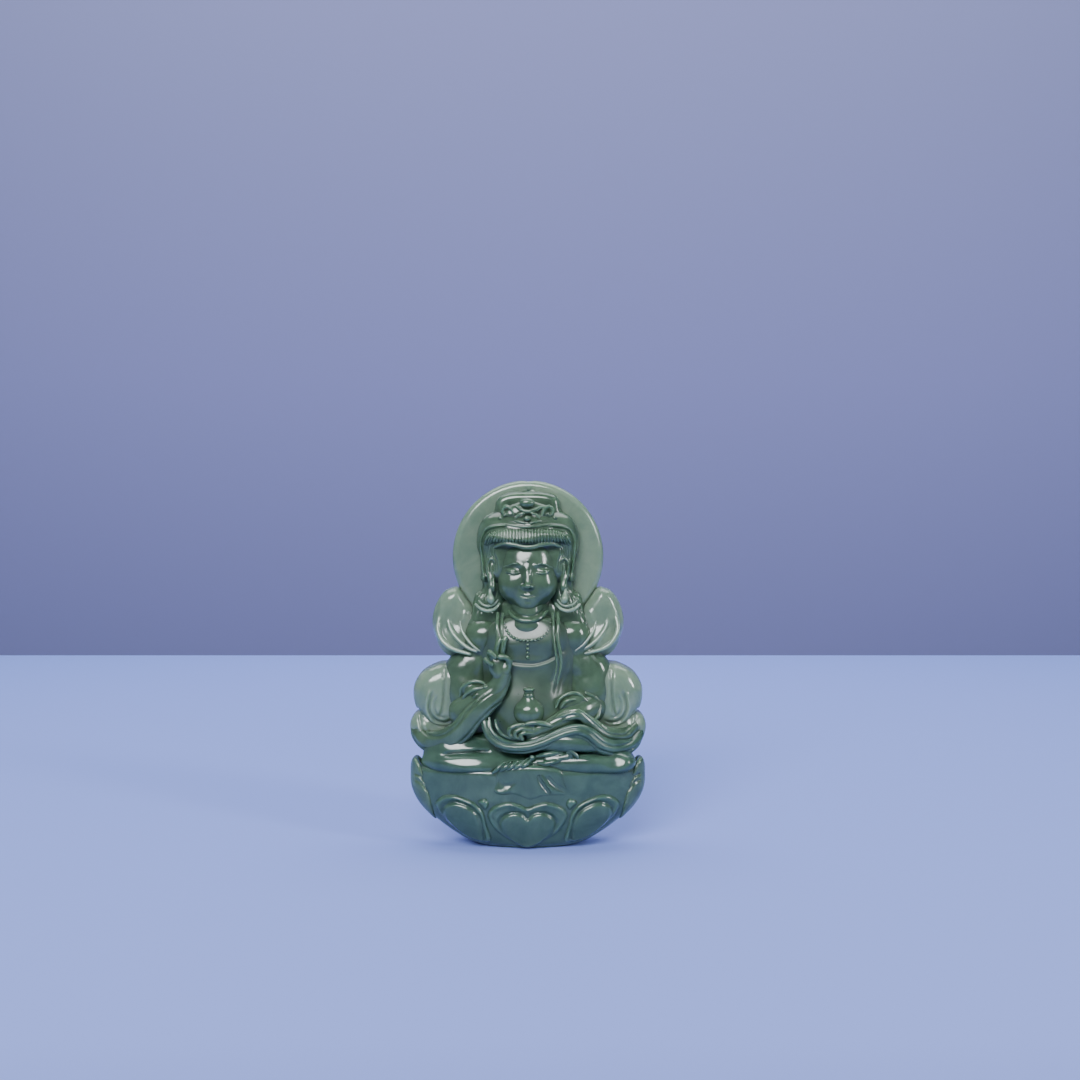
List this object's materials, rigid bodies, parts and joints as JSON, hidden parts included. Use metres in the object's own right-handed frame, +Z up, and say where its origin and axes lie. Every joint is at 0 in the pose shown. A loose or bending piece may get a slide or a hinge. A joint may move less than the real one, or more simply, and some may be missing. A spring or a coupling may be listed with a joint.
{
  "type": "jade figurine",
  "caption": "Small carved jade figure seated cross-legged on a lotus throne before a round halo, with a drilled cord hole in the halo's rim.",
  "frame": {"origin": "centre of the flat foot, on the surface that the figurine stands on", "axes": "+Z up, -Y towards the viewer (the carved front), +X to the viewer's right, which is the figure's left"},
  "size_m": [0.0388, 0.0124, 0.06],
  "materials": {
    "jade": "polished, translucent grey-green jade",
    "thin_jade": "polished, lighter where the stone is thin",
    "deep_jade": "polished, darker and bluer where the stone is thick"
  },
  "bodies": {
    "root": {"foot": "deep_jade", "throne_bowl": "deep_jade", "petal_front": "deep_jade", "petals_flanking": "deep_jade", "petals_side": "thin_jade", "petals_rear": "deep_jade", "robe_skirt": "deep_jade", "hem_pleats": "deep_jade", "right_leg": "deep_jade", "left_leg": "deep_jade", "torso": "jade", "neck": "jade", "right_upper_arm": "jade", "left_upper_arm": "jade", "right_forearm": "jade", "left_forearm": "jade", "right_sleeve": "jade", "left_sleeve": "jade", "right_hand": "jade", "left_hand": "jade", "lap_sash": "deep_jade", "water_vase": "jade", "right_lapel": "jade", "left_lapel": "jade", "necklace_beads": "jade", "necklace_drop": "jade", "right_shoulder_scarf": "thin_jade", "left_shoulder_scarf": "thin_jade", "right_upper_fold": "thin_jade", "left_upper_fold": "thin_jade", "right_lower_fold": "thin_jade", "left_lower_fold": "thin_jade", "head": "jade", "right_ear": "jade", "left_ear": "jade", "right_earring": "jade", "left_earring": "jade", "hair_cap": "jade", "hair_fringe": "jade", "topknot": "jade", "right_hair_lock": "jade", "left_hair_lock": "jade", "crown_band": "jade", "crown_jewels": "jade", "halo": "thin_jade"}
  },
  "joints": []
}
